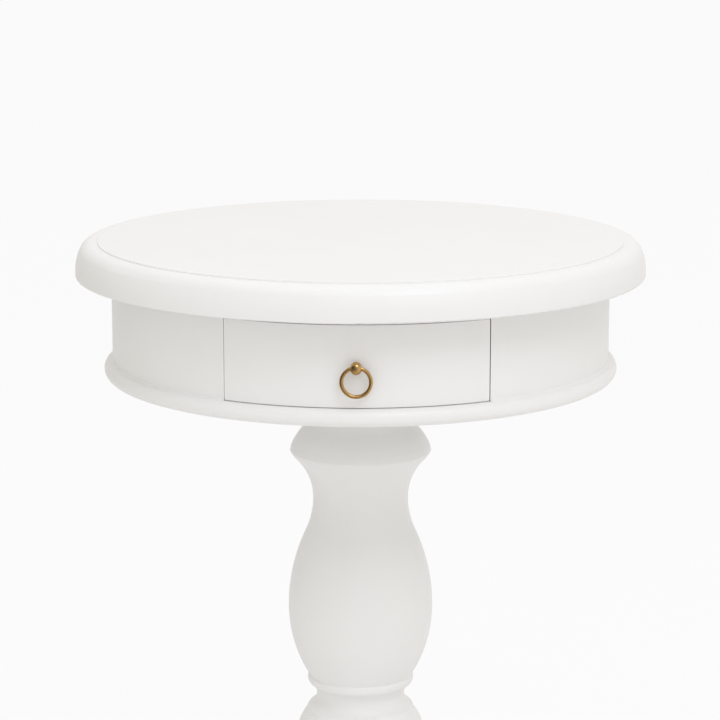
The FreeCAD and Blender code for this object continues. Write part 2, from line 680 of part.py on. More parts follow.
# Column: rings and cove at the foot, the vase, the collar with its dome, and the stem
column = turned("column_turned", [
    ("bore_radius", "bell_top"), ("foot_radius", "bell_top"),
    ("foot_radius", "foot_top", "upright there"),
    ("knob_radius", "knob_level", "upright here"),
    ("knob_radius - knob_round_inset", "knob_shoulder", "knob_dome_swell"),
    ("ledge_radius", "knob_top", "ledge_round_swell"),
    ("ledge_radius - ledge_inset", "cove_base", "-cove_hollow"),
    ("bead_foot_radius", "cove_top", "bead_swell"),
    ("vase_foot_radius", "bead_top", "upright there"),
    ("belly_radius", "belly_level", "upright here"),
    ("neck_radius + (belly_radius - neck_radius) * neck_share",
     "neck_level - vase_upper_height * neck_share", "upright there"),
    ("neck_radius", "neck_level", "upright here"),
    ("collar_radius - collar_overhang", "collar_base", "collar_lower_swell"),
    ("collar_radius", "collar_level", "collar_round_swell"),
    ("collar_radius - collar_round_inset", "collar_shoulder", "dome_swell"),
    ("dome_top_radius", "dome_top", "upright there"),
    ("stem_radius", "stem_base"), ("stem_radius", "column_top"),
    ("bore_radius", "column_top")])
keep(cut("column", column, dowel_drills))

# Mounting disc on the column, screwed up into the drum's floor board
cap_screws, cap_drills = screw_set(
    "cap_screws", "(cap_thickness + cap_screw_bite)",
    ring_spots(even_angles(CAP_SCREW_COUNT, CAP_SCREW_ANGLE), "cap_screw_circle", "column_top",
               "up"))
cap = turned("cap_turned", [
    ("bore_radius", "column_top"), ("cap_radius - cap_edge_round", "column_top", "level here"),
    ("cap_radius", "column_top + cap_edge_round"), ("cap_radius", "cap_top"),
    ("recess_radius", "cap_top"), ("recess_radius", "cap_top - recess_depth"),
    ("bore_radius", "cap_top - recess_depth")])
keep(cut("mounting_disc", cap, gather("cap_holes", [cap_drills, dowel_drills])))

# Tie rod that clamps disc, column, bell and plinth, with a washer and a nut at each end
keep(cylinder("tie_rod", "rod_radius", "rod_top - rod_base", z="rod_base"))
rod_hole = "rod_radius + thread_clearance"
rod_washer = washer("rod_washer", "washer_radius", "washer_thickness", rod_hole)
rod_nut = hex_nut("rod_nut", "nut_across", "nut_thickness", rod_hole)
keep(copies("rod_washers", rod_washer, [
    (0, 0, "plinth_base + recess_depth - washer_thickness", UP),
    (0, 0, "cap_top - recess_depth", UP)]))
keep(copies("rod_nuts", rod_nut, [
    (0, 0, "plinth_base + recess_depth - washer_thickness - nut_thickness", UP),
    (0, 0, "cap_top - recess_depth + washer_thickness", UP)]))

# Corner blocks inside the curved wall: one set under the top and one on the floor board
block_blank = box("block_blank", "block_reach", "-block_width / 2", 0,
                  "block_depth", "block_width", "block_height")
block_bend = cylinder("block_bend", "apron_inner - glue_line", "block_height")
block = doc.addObject("Part::Common", "block_form")
block.Base = block_blank
block.Tool = block_bend
block_middle = "(block_reach + block_depth / 2)"
block_foot = "apron_top - block_height"
top_screws, top_drills = screw_set(
    "top_screws", "(block_height + block_top_bite)",
    ring_spots(BLOCK_ANGLES, block_middle, block_foot, "up"))
floor_screws, floor_drills = screw_set(
    "floor_screws", "(floor_board_thickness + block_floor_bite)",
    ring_spots(BLOCK_ANGLES, block_middle, "cap_top", "up"))
upper_blocks = copies("upper_blanks", block, [
    (0, 0, block_foot, str(angle)) for angle in BLOCK_ANGLES])
lower_blocks = copies("lower_blanks", block, [
    (0, 0, "floor_top", str(angle)) for angle in BLOCK_ANGLES])
keep(cut("upper_blocks", upper_blocks, top_drills))
keep(cut("lower_blocks", lower_blocks, floor_drills))

# Runners: an L on the floor board each side, with a ledge under the drawer and an upright guide
rail_screw_ys = ("rail_screw_inset - rail_front", "rail_back - rail_screw_inset")
runner_screws, runner_drills = screw_set(
    "runner_screws", "(runner_guide_height + runner_screw_bite)",
    [(side + "(guide_inner + runner_guide_width / 2)", y, "floor_top + runner_guide_height",
      "down") for side in ("", "-") for y in rail_screw_ys])
runner_outline = [
    ("guide_inner - runner_ledge_width", "floor_top"),
    ("guide_outer", "floor_top"), ("guide_outer", "floor_top + runner_guide_height"),
    ("guide_inner", "floor_top + runner_guide_height"),
    ("guide_inner", "floor_top + runner_ledge"),
    ("guide_inner - runner_ledge_width", "floor_top + runner_ledge")]
mirrored_outline = [(f"-({x})", z) for x, z in reversed(runner_outline)]
for name, outline in (("drawer_runner_right", runner_outline),
                      ("drawer_runner_left", mirrored_outline)):
    runner = place(padded(name + "_blank", "XZ_Plane", outline, "rail_length"), y="rail_back")
    keep(cut(name, runner, runner_drills))

# Kickers: a rail over each drawer side that keeps the open drawer from tipping
kicker_screws, kicker_drills = screw_set(
    "kicker_screws", "(apron_top - kicker_base + kicker_screw_bite)",
    [(side + "box_half", y, "kicker_base", "up") for side in ("", "-") for y in rail_screw_ys])
for name, x in (("kicker_right", "box_half - kicker_width / 2"),
                ("kicker_left", "-box_half - kicker_width / 2")):
    rail = box(name + "_blank", x, "-rail_front", "kicker_base",
               "kicker_width", "rail_length", "apron_top - kicker_base")
    keep(cut(name, rail, kicker_drills))

# Front stop: a block under the top that holds the open drawer at its back
stop_screw_x = "(stop_width / 2 - stop_screw_inset)"
front_stop_screws, front_stop_drills = screw_set(
    "front_stop_screws", "(apron_top - stop_base + kicker_screw_bite)",
    [(side + stop_screw_x, "-(stop_back + stop_thickness / 2)", "stop_base", "up")
     for side in ("", "-")])
front_stop = box("front_stop_blank", "-stop_width / 2", "-(stop_back + stop_thickness)",
                 "stop_base", "stop_width", "stop_thickness", "apron_top - stop_base")
keep(cut("front_stop", front_stop, front_stop_drills))

# Rear stop: a block on the floor board behind the closed drawer
rear_stop_screws, rear_stop_drills = screw_set(
    "rear_stop_screws", "(rear_stop_height + runner_screw_bite)",
    [(side + stop_screw_x, "box_back + stop_clearance + stop_thickness / 2",
      "floor_top + rear_stop_height", "down") for side in ("", "-")])
rear_stop = box("rear_stop_blank", "-stop_width / 2", "box_back + stop_clearance", "floor_top",
                "stop_width", "stop_thickness", "rear_stop_height")
keep(cut("rear_stop", rear_stop, rear_stop_drills))

# Floor board of the drum, with a fully rounded edge
board_flat = "apron_radius + bead_overhang - floor_board_thickness / 2"
floor_board = turned("floor_turned", [
    (0, "cap_top"), (board_flat, "cap_top", "floor_board_thickness / 2"),
    (board_flat, "floor_top"), (0, "floor_top")])
keep(cut("drum_floor", floor_board, gather("floor_holes", [
    cap_drills, floor_drills, runner_drills, rear_stop_drills])))

# Curved wall of the drum, open for the drawer at the front
wall = turned("wall_turned", [
    ("apron_inner", "floor_top"), ("apron_radius", "floor_top"),
    ("apron_radius", "apron_top"), ("apron_inner", "apron_top")])
opening = box("drawer_opening", "opening_shift - (front_half + drawer_gap)",
              "-(apron_radius + overrun)", "floor_top", "2 * (front_half + drawer_gap)",
              "apron_radius + overrun", "opening_top - floor_top")
keep(cut("apron_wall", wall, opening))

# Table top, with its rolled edge and the step round its middle
top = rolled_board("top_turned", "top", "apron_top", [(0, "table_top"), (0, "apron_top")])
keep(cut("tabletop", top, gather("top_holes", [top_drills, kicker_drills, front_stop_drills])))

# Groove round the drawer for its bottom panel
groove_half = "(box_half - drawer_side_thickness + groove_depth)"
panel_groove = box("panel_groove", f"-{groove_half}", "-(box_front + groove_depth)",
                   "groove_base", f"2 * {groove_half}",
                   "drawer_side_length + groove_depth + overrun", "groove_height")

# Dowels between drawer front and sides, and screws between sides and back
joint_levels = ("side_base + front_dowel_low", "side_top - front_dowel_drop")
front_dowels, front_dowel_drills = dowel_set(
    "front_dowels", "front_dowel_radius", "front_dowel_length",
    [(side + "(box_half - drawer_side_thickness / 2)", "-box_front", z, "front")
     for side in ("", "-") for z in joint_levels])
drawer_back_screws, back_drills = screw_set(
    "drawer_back_screws", "(drawer_side_thickness + back_screw_bite)",
    [(side + "box_half", "back_middle", z, heading)
     for side, heading in (("", "left"), ("-", "right")) for z in joint_levels], "small_screw")

# Sides of the drawer
for name, x in (("drawer_side_right", "box_half - drawer_side_thickness"),
                ("drawer_side_left", "-box_half")):
    side_board = box(name + "_blank", x, "-box_front", "side_base", "drawer_side_thickness",
                     "drawer_side_length", "side_top - side_base")
    keep(cut(name, side_board, gather(name + "_holes", [
        panel_groove, front_dowel_drills, back_drills])))

# Back of the drawer, which stands on the bottom panel
drawer_panel_screws, panel_drills = screw_set(
    "drawer_panel_screws", "(panel_thickness + panel_screw_bite)",
    [(x, "back_middle", "panel_base", "up")
     for x in ("-panel_screw_x", 0, "panel_screw_x")], "small_screw")
back_board = box("drawer_back_blank", "drawer_side_thickness - box_half", "back_face",
                 "panel_top", "2 * (box_half - drawer_side_thickness)",
                 "drawer_side_thickness", "side_top - panel_top")
keep(cut("drawer_back", back_board, gather("drawer_back_holes", [back_drills, panel_drills])))

# Bottom panel of the drawer, held in the groove
panel = box("drawer_panel_blank", f"panel_clearance - {groove_half}",
            "panel_clearance - (box_front + groove_depth)", "panel_base",
            f"2 * ({groove_half} - panel_clearance)",
            "drawer_side_length + groove_depth - panel_clearance", "panel_thickness")
keep(cut("drawer_bottom", panel, panel_drills))

# Drawer front, curved like the wall, with rounded corners, eased edges and a pocket behind for
# the pull's nut
front = padded("drawer_front_blank", "XY_Plane", [
    ("-front_half", "-front_corner", "apron_radius - front_corner"),
    ("front_half", "-front_corner"), ("front_half", "-box_front"),
    ("-front_half", "-box_front")], "front_height")
round_edges(front, "corners", "front_corner_round", runs_back)
round_edges(front, "easing", "eased_edge", faces_out)
place(front, z="front_base")
inside_front = "-box_front + overrun"
stud_hole = cylinder("stud_hole", "stud_radius + hole_clearance",
                     "apron_radius - box_front + 2 * overrun", 0, inside_front, "pull_level",
                     TO_FRONT)
pull_pocket = cylinder("pull_pocket", "pull_pocket_radius", "pull_pocket_depth + overrun", 0,
                       inside_front, "pull_level", TO_FRONT)
keep(cut("drawer_front", front, gather("drawer_front_holes", [
    panel_groove, front_dowel_drills, stud_hole, pull_pocket])))

# Post of the pull: a stud through the front, a round neck, and an egg-shaped head with an eye
post_end = "stud_length + eye_distance"
post = turned("pull_post_turned", [
    (0, 0), ("stud_radius", 0), ("stud_radius", "stud_length"),
    ("post_radius", "stud_length"), ("post_radius", post_end), (0, post_end)])
place(post, 0, "-stud_inner", "pull_level", TO_FRONT)
head_end = "(head_shoulder_height + head_end_height)"
head = turned("pull_head_turned", [
    (0, "-" + head_end, "level here"),
    ("head_shoulder_radius", "-head_shoulder_height", "upright there"),
    ("head_radius", 0, "upright here"),
    ("head_shoulder_radius", "head_shoulder_height", "level there"), (0, head_end)])
place(head, 0, "-ring_distance", "pull_level")
pull_eye = cylinder("pull_eye", "eye_radius", "2 * (head_radius + overrun)",
                    "-(head_radius + overrun)", "-ring_distance", "pull_level", TO_RIGHT)
keep(cut("pull_post", joined("pull_post_blank", [post, head]), pull_eye))

# Washer and nut behind the drawer front
stud_bore = "stud_radius + thread_clearance"
pull_washer = washer("pull_washer", "pull_washer_radius", "pull_washer_thickness", stud_bore)
keep(place(pull_washer, 0, "-pocket_floor + pull_washer_thickness", "pull_level", TO_FRONT))
pull_nut = hex_nut("pull_nut", "pull_nut_across", "pull_nut_thickness", stud_bore)
keep(place(pull_nut, 0, "-pocket_floor + pull_washer_thickness + pull_nut_thickness",
           "pull_level", TO_FRONT))

# Ring: round wire bent to a ring through the eye, with its butt joint near the bottom
wire = doc.addObject("Part::Torus", "ring_wire")
bind(wire, "Radius1", "ring_radius")
bind(wire, "Radius2", "wire_radius")
place(wire, 0, "-ring_distance", "ring_level", TO_FRONT)
seam = box("ring_seam_cut", "-ring_seam / 2", "-(wire_radius + overrun)",
           "-(ring_radius + wire_radius + overrun)", "ring_seam",
           "2 * (wire_radius + overrun)", "2 * (wire_radius + overrun)")
turned_seam = place(gather("ring_seam_turned", [seam]), 0, "-ring_distance", "ring_level",
                    Rotation(Vector(0, 1, 0), SEAM_ANGLE))
keep(cut("pull_ring", wire, turned_seam))

# Stop if any object failed, then write each piece to its own file
doc.recompute()
for thing in doc.Objects:
    if "Invalid" in thing.State or "Error" in thing.State:
        raise RuntimeError(f"{thing.Name} failed: {thing.State}")
for thing in nodes:
    if thing.Shape.isNull() or not thing.Shape.isValid() or not thing.Shape.Solids:
        raise RuntimeError(f"{thing.Label} has no valid shape")
os.makedirs("parts", exist_ok=True)
for thing in nodes:
    thing.Shape.exportStep(f"parts/{thing.Label}.step")
    print(f"{thing.Label}: {len(thing.Shape.Solids)} solids, {thing.Shape.Volume / 1000:.2f} cm3")
print(f"{len(nodes)} pieces, {levels.table_top:.1f} mm high")
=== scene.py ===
# %% [markdown]
# A white drum table on a turned column
#
# The table is a round top, a drum with one curved drawer, a column from the lathe and a round
# foot. All of it is painted wood, so its looks come from soft light on a satin paint, and from
# a little brass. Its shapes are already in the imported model, in metres and in place, with the
# floor at zero and the drawer facing -Y. This lesson gives them their finishes, fills the
# joint under the drum's wall, and sets up the studio.

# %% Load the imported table
import math

import bmesh
import bpy
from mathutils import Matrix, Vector


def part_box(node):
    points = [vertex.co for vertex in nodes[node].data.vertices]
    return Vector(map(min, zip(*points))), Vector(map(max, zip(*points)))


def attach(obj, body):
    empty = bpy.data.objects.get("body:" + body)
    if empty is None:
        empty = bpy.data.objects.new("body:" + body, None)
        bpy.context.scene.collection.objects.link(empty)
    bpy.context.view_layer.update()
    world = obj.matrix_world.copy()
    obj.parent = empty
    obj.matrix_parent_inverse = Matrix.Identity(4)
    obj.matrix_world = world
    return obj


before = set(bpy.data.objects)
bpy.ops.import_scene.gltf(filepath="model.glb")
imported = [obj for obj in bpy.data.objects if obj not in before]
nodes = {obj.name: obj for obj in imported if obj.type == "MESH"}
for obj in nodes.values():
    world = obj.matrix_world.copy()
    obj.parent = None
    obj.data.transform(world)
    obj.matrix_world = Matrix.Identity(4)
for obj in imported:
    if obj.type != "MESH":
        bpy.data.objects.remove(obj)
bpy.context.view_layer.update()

MM = 0.001
for name in ("Cube", "Light", "Camera"):
    if name in bpy.data.objects:
        bpy.data.objects.remove(bpy.data.objects[name])

# %% [markdown]
# Small helpers for shader nodes
#
# Every finish below is a tree of shader nodes. A few helpers keep the cells short. They add a
# node with its settings, give a socket a value or a link, do sums, mix colours, lay noise, and
# start a node group with named inputs and outputs. A group can then be placed in several
# materials, each with its own values, the way a workshop uses one technique on many pieces.

# %% Add nodes, feed sockets and start groups
def add(tree, kind, **settings):
    """Add a shader node and set its properties."""
    node = tree.nodes.new("ShaderNode" + kind)
    for name, value in settings.items():
        setattr(node, name, value)
    return node


def feed(tree, socket, source):
    """Link a socket to an output, or set its value."""
    if isinstance(source, bpy.types.NodeSocket):
        tree.links.new(source, socket)
    else:
        socket.default_value = source


def maths(tree, operation, *sources):
    """Add a Math node fed by values or outputs, and return its output."""
    node = add(tree, "Math", operation=operation)
    for socket, source in zip(node.inputs, sources):
        feed(tree, socket, source)
    return node.outputs[0]


def blend_colours(tree, share, first, second):
    """Mix two colours by a share from 0 to 1, and return the result."""
    node = add(tree, "Mix", data_type="RGBA")
    for name, source in (("Factor_Float", share), ("A_Color", first), ("B_Color", second)):
        feed(tree, next(s for s in node.inputs if s.identifier == name), source)
    return next(s for s in node.outputs if s.identifier == "Result_Color")


def new_group(title, inputs, outputs):
    """Start a node group. Each socket is (name, type, value), with the value left out if none."""
    tree = bpy.data.node_groups.new(title, "ShaderNodeTree")
    for way, sockets in (("INPUT", inputs), ("OUTPUT", outputs)):
        for name, kind, *value in sockets:
            made = tree.interface.new_socket(name, in_out=way, socket_type="NodeSocket" + kind)
            if value:
                made.default_value = value[0]
    source = tree.nodes.new("NodeGroupInput").outputs
    target = tree.nodes.new("NodeGroupOutput").inputs
    return tree, source, target


def noise(tree, vector, scale, detail=2.0, roughness=0.5, output="Fac"):
    """Add a noise of so many lumps a metre, and return an output."""
    node = add(tree, "TexNoise")
    feed(tree, node.inputs["Vector"], vector)
    feed(tree, node.inputs["Scale"], scale)
    feed(tree, node.inputs["Detail"], detail)
    feed(tree, node.inputs["Roughness"], roughness)
    return node.outputs[output]


def stretched(tree, vector, scale):
    """Scale a coordinate differently along each axis."""
    node = add(tree, "VectorMath", operation="MULTIPLY")
    feed(tree, node.inputs[0], vector)
    feed(tree, node.inputs[1], scale)
    return node.outputs[0]


def levels(tree, source, low, high, new_low=0.0, new_high=1.0):
    """Spread a value from one range to another, clamped."""
    node = add(tree, "MapRange", clamp=True)
    for name, value in (("Value", source), ("From Min", low), ("From Max", high),
                        ("To Min", new_low), ("To Max", new_high)):
        feed(tree, node.inputs[name], value)
    return node.outputs["Result"]


print("helpers ready")

# %% [markdown]
# Marks of use
#
# Nothing stays evenly glossy. Fingers leave a dull bloom, a cloth polishes some of it away,
# and dust settles. It could be painted by hand on each piece, but two sizes of noise laid over
# each other give the same uneven sheen on any shape. The group puts out one mask, and each
# finish turns it into its own change of roughness or colour.

# %% Group: handling marks
CLOSE_PER_BROAD = 7.0
CLOSE_SHARE = 0.4
LEAST_WORN = 0.3
MOST_WORN = 0.7
CONTRAST_SHARE = 0.25
marks_group, source, target = new_group(
    "handling marks",
    [("Vector", "Vector"), ("Patch size", "Float", 60 * MM), ("Contrast", "Float", 0.5)],
    [("Mask", "Float")])
per_metre = maths(marks_group, "DIVIDE", 1.0, source["Patch size"])
broad = noise(marks_group, source["Vector"], per_metre, 3.0, 0.55)
close = noise(marks_group, source["Vector"],
              maths(marks_group, "MULTIPLY", per_metre, CLOSE_PER_BROAD), 4.0)
mixed = maths(marks_group, "MULTIPLY_ADD", close, CLOSE_SHARE,
              maths(marks_group, "MULTIPLY", broad, 1 - CLOSE_SHARE))
spread = maths(marks_group, "MULTIPLY", source["Contrast"], CONTRAST_SHARE)
feed(marks_group, target["Mask"], levels(
    marks_group, mixed, maths(marks_group, "SUBTRACT", LEAST_WORN, spread),
    maths(marks_group, "ADD", MOST_WORN, spread)))
print("group:", marks_group.name)

# %% [markdown]
# The skin of sprayed paint
#
# Sprayed lacquer never dries dead flat. It keeps a soft ripple a few millimetres long and about
# a hundredth of a millimetre deep, which painters call orange peel, and here and there a nib of
# dust under the film. On turned pieces the lathe's last rings still show through as well. The
# heights come out in metres, so that a Bump node can use them at their true size.

# %% Group: paint film
NIB_SPACING = 34 * MM
NIB_SIZE = 0.35 * MM
NIB_HEIGHT = 0.03 * MM
film_group, source, target = new_group(
    "paint film",
    [("Vector", "Vector"), ("Peel length", "Float", 4 * MM), ("Peel depth", "Float", 0.01 * MM),
     ("Ring pitch", "Float", 1.2 * MM), ("Ring depth", "Float", 0.0)],
    [("Height", "Float")])
peel = noise(film_group, source["Vector"], maths(film_group, "DIVIDE", 1.0, source["Peel length"]),
             2.0, 0.45)
upright = stretched(film_group, source["Vector"], (0.0, 0.0, 1.0))
rings = noise(film_group, upright, maths(film_group, "DIVIDE", 1.0, source["Ring pitch"]), 3.0, 0.7)
cells = add(film_group, "TexVoronoi", feature="F1")
feed(film_group, cells.inputs["Vector"], source["Vector"])
feed(film_group, cells.inputs["Scale"], 1 / NIB_SPACING)
nibs = levels(film_group, cells.outputs["Distance"], 0.0, NIB_SIZE / NIB_SPACING, 1.0, 0.0)
ripple = maths(film_group, "MULTIPLY", peel, source["Peel depth"])
turned = maths(film_group, "MULTIPLY", rings, source["Ring depth"])
lump = maths(film_group, "MULTIPLY", nibs, NIB_HEIGHT)
feed(film_group, target["Height"], maths(film_group, "ADD", maths(
    film_group, "ADD", ripple, turned), lump))
print("group:", film_group.name)

# %% [markdown]
# Grain of sawn wood
#
# A board is a slice through a tree. Seen as a solid, it is a stack of yearly shells round a
# trunk that lies somewhere beside the board, a little crooked. So the group measures the
# distance from such a trunk, bends it with slow noise, and turns it into rings that are pale
# at first and dark at their end. Thin fibres run along the trunk. The grain runs along X in
# the group, and each board turns its coordinates to suit. An image of planks would be
# quicker, but a solid pattern meets itself at every corner, as end grain does.

# %% Group: wood grain
TRUNK_OFFSET = (0.0, 43 * MM, 71 * MM)
TRUNK_LEAN = (0.04, 1.0, 1.0)
BENDS_PER_METRE = (2.0, 7.0, 7.0)
BEND_REACH = (0.0, 30 * MM, 30 * MM)
FIBRES_PER_METRE = (18.0, 900.0, 900.0)
LATE_WOOD_RISE = 3.0
LATE_WOOD_END = 0.93
LATE_WOOD_SHARE = 0.75
DEPTH_RANGE = (-0.15, 0.9)
WOOD_SHEEN = (0.62, 0.5)
GRAIN_DEPTH = 0.04 * MM
wood_group, source, target = new_group(
    "wood grain",
    [("Vector", "Vector"), ("Pale", "Color", (0.8, 0.62, 0.4, 1)),
     ("Dark", "Color", (0.6, 0.38, 0.2, 1)), ("Ring width", "Float", 4 * MM),
     ("Fibre", "Float", 0.5)],
    [("Color", "Color"), ("Roughness", "Float"), ("Height", "Float")])
bend = noise(wood_group, stretched(wood_group, source["Vector"], BENDS_PER_METRE), 1.0, 2.0,
             output="Color")
shift = add(wood_group, "VectorMath", operation="MULTIPLY_ADD")
feed(wood_group, shift.inputs[0], bend)
feed(wood_group, shift.inputs[1], BEND_REACH)
feed(wood_group, shift.inputs[2], source["Vector"])
moved = add(wood_group, "VectorMath", operation="ADD")
feed(wood_group, moved.inputs[0], shift.outputs[0])
feed(wood_group, moved.inputs[1], TRUNK_OFFSET)
across = stretched(wood_group, moved.outputs[0], TRUNK_LEAN)
length = add(wood_group, "VectorMath", operation="LENGTH")
feed(wood_group, length.inputs[0], across)
count = maths(wood_group, "DIVIDE", length.outputs["Value"], source["Ring width"])
year = maths(wood_group, "FRACT", count)
late = maths(wood_group, "MULTIPLY", maths(wood_group, "POWER", year, LATE_WOOD_RISE),
             levels(wood_group, year, LATE_WOOD_END, 1.0, 1.0, 0.0))
fibres = noise(wood_group, stretched(wood_group, source["Vector"], FIBRES_PER_METRE), 1.0, 3.0,
               0.6)
streak = maths(wood_group, "MULTIPLY", maths(wood_group, "SUBTRACT", fibres, 0.5), source["Fibre"])
depth = maths(wood_group, "ADD", maths(wood_group, "MULTIPLY", late, LATE_WOOD_SHARE), streak)
share = levels(wood_group, depth, *DEPTH_RANGE)
feed(wood_group, target["Color"],
     blend_colours(wood_group, share, source["Pale"], source["Dark"]))
feed(wood_group, target["Roughness"], levels(wood_group, share, 0.0, 1.0, *WOOD_SHEEN))
feed(wood_group, target["Height"], maths(wood_group, "MULTIPLY", share, GRAIN_DEPTH))
print("group:", wood_group.name)

# %% [markdown]
# Fine scratches on metal
#
# Rubbed metal carries hair lines in every direction. Stretched noise, turned a few ways and
# kept only where it peaks, looks like them. The mask makes the metal a little rougher there.

# %% Group: hair lines
HAIR_STRETCH = 12
HAIR_TURNS = (0.2, 1.1, 2.3)
TILT_SHARE = 0.7
PEAK_RANGE = (0.62, 0.75)
hair_group, source, target = new_group(
    "hair lines",
    [("Vector", "Vector"), ("Line width", "Float", 0.2 * MM)],
    [("Mask", "Float")])
lines = None
for turn in HAIR_TURNS:
    rotate = add(hair_group, "VectorRotate", rotation_type="EULER_XYZ")
    feed(hair_group, rotate.inputs["Vector"], source["Vector"])
    feed(hair_group, rotate.inputs["Rotation"], (turn, turn * TILT_SHARE, turn))
    thin = stretched(hair_group, rotate.outputs[0], (1 / HAIR_STRETCH, 1.0, 1.0))
    streaks = noise(hair_group, thin, maths(hair_group, "DIVIDE", 1.0, source["Line width"]), 1.0)
    peaks = levels(hair_group, streaks, *PEAK_RANGE)
    lines = peaks if lines is None else maths(hair_group, "MAXIMUM", lines, peaks)
feed(hair_group, target["Mask"], lines)
print("group:", hair_group.name)

# %% [markdown]
# How a material is put together
#
# Each finish is a Principled shader in a material of its own. The coordinates are those of
# the piece itself, so a pattern stays on the drawer when the drawer slides. The helpers below
# start such a material, place a group in it and feed its inputs, bump its surface, and put it
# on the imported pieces.

# %% Start materials and place groups
def start_material(name, **sockets):
    """Make a material with a Principled shader, and set the shader's plain sockets."""
    material = bpy.data.materials.new(name)
    material.use_nodes = True
    tree = material.node_tree
    shader = tree.nodes["Principled BSDF"]
    for socket, value in sockets.items():
        shader.inputs[socket.replace("_", " ")].default_value = value
    place = add(tree, "TexCoord").outputs["Object"]
    return material, tree, shader, place


def place_group(tree, group, **sockets):
    """Place a node group, feed its inputs and return its outputs."""
    node = tree.nodes.new("ShaderNodeGroup")
    node.node_tree = group
    for socket, value in sockets.items():
        feed(tree, node.inputs[socket.replace("_", " ")], value)
    return node.outputs


def raise_surface(tree, shader, height):
    """Bump the shader's normal by a height in metres."""
    bump = add(tree, "Bump")
    feed(tree, bump.inputs["Distance"], 1.0)
    feed(tree, bump.inputs["Height"], height)
    feed(tree, shader.inputs["Normal"], bump.outputs["Normal"])


def dress(material, *names):
    """Give CAD pieces a material in place of their plain one."""
    for name in names:
        for place in nodes[name].material_slots:
            place.material = material
    print(f"{material.name}: {', '.join(names)}")


print(f"{len(bpy.data.node_groups)} groups to place")

# %% [markdown]
# White satin paint
#
# The table is sprayed with a white satin lacquer. It is a neutral white that is neither chalky
# nor glossy. A plain white shader would look like plaster, so the film's ripple bends its
# reflections, handling marks vary its sheen, and the white itself drifts by a hair, as sprayed
# coats of slightly different thickness do. Turned pieces get the lathe's rings under the paint,
# boards only the ripple.

# %% Paint the turned pieces and the boards
PAINT_WHITE = (0.82, 0.82, 0.825, 1)
PAINT_WARM = (0.80, 0.797, 0.79, 1)
PAINT_SHEEN = (0.36, 0.46)
PAINT_IOR = 1.47
LATHE_RING_DEPTH = 0.004 * MM


def white_paint(name, ring_depth):
    """White satin lacquer over wood, with lathe rings of a depth in metres showing through."""
    material, tree, shader, place = start_material(name, IOR=PAINT_IOR)
    drift = place_group(tree, marks_group, Vector=place, Patch_size=160 * MM, Contrast=0.4)
    feed(tree, shader.inputs["Base Color"],
         blend_colours(tree, drift["Mask"], PAINT_WHITE, PAINT_WARM))
    marks = place_group(tree, marks_group, Vector=place, Patch_size=45 * MM, Contrast=0.6)
    feed(tree, shader.inputs["Roughness"], levels(tree, marks["Mask"], 0.0, 1.0, *PAINT_SHEEN))
    film = place_group(tree, film_group, Vector=place, Peel_length=3.5 * MM,
                       Peel_depth=0.012 * MM, Ring_pitch=1.4 * MM, Ring_depth=ring_depth)
    raise_surface(tree, shader, film["Height"])
    return material


dress(white_paint("white paint on turnings", LATHE_RING_DEPTH),
      "tabletop", "drum_floor", "mounting_disc", "column", "base_bell", "base_plinth")
dress(white_paint("white paint on boards", 0.0), "apron_wall", "drawer_front")

# %% [markdown]
# The painter's filler
#
# Where the wall of the drum stands on its rounded floor board, there is no sharp corner in the
# photograph. Before the spray coat, the painter ran a bead of filler round that joint and wiped
# it with a finger. The wall stops at the drawer, and so does the filler. A Bevel modifier can't
# make it, because wall and board are two pieces. So its small hollow section is drawn from the
# two real surfaces, as an arc that touches both. Its back runs a little inside them, so that
# no slit shows.

# %% Draw the filler's section
FILLER_RADIUS = 2.2 * MM
FILLER_SINK = 0.4 * MM
ARC_STEPS = 8
wall_low, wall_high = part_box("apron_wall")
board_low, board_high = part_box("drum_floor")
wall_radius = (wall_high.x - wall_low.x) / 2
bead_radius = (board_high.z - board_low.z) / 2
bead_middle = (board_high.x - board_low.x) / 2 - bead_radius
arc_middle_r = wall_radius + FILLER_RADIUS
arc_middle_z = math.sqrt((bead_radius + FILLER_RADIUS) ** 2 - (arc_middle_r - bead_middle) ** 2)
touch = math.atan2(-arc_middle_z, bead_middle - arc_middle_r)
section = [(arc_middle_r + FILLER_RADIUS * math.cos(turn),
            arc_middle_z + FILLER_RADIUS * math.sin(turn))
           for turn in (-math.pi + (touch + math.pi) * step / ARC_STEPS
                        for step in range(ARC_STEPS + 1))]
section.append((section[-1][0], section[-1][1] - FILLER_SINK))
section.append((wall_radius - FILLER_SINK, bead_radius - FILLER_SINK))
section.append((wall_radius - FILLER_SINK, arc_middle_z))
section = [(r, z + board_high.z - bead_radius) for r, z in section]
print(f"section: {len(section)} points, {FILLER_RADIUS / MM:.1f} mm hollow")

# %% [markdown]
# The filler's sweep
#
# A spin tool would go all the way round. The filler has to end on both sides of the drawer, so
# the section is set up at even steps from one side of the opening to the other, and each pair
# of sections is joined by faces.

# %% Sweep the filler round the drum
FILLER_STEPS = 300
OPENING_GAP = 1.6 * MM
SHARP_ANGLE = math.radians(40)
front_low, front_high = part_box("drawer_front")
filler = bmesh.new()
first = math.asin((front_high.x + OPENING_GAP) / wall_radius)
last = 2 * math.pi - math.asin((OPENING_GAP - front_low.x) / wall_radius)
rows = []
for step in range(FILLER_STEPS + 1):
    turn = first + (last - first) * step / FILLER_STEPS
    rows.append([filler.verts.new((r * math.sin(turn), -r * math.cos(turn), z))
                 for r, z in section])
for row, following in zip(rows, rows[1:]):
    for index in range(len(section)):
        after = (index + 1) % len(section)
        filler.faces.new((row[index], row[after], following[after], following[index]))
filler.faces.new(rows[0])
filler.faces.new(list(reversed(rows[-1])))
bmesh.ops.recalc_face_normals(filler, faces=filler.faces)
mesh = bpy.data.meshes.new("joint_filler")
filler.to_mesh(mesh)
filler.free()
mesh.shade_smooth()
mesh.set_sharp_from_angle(angle=SHARP_ANGLE)
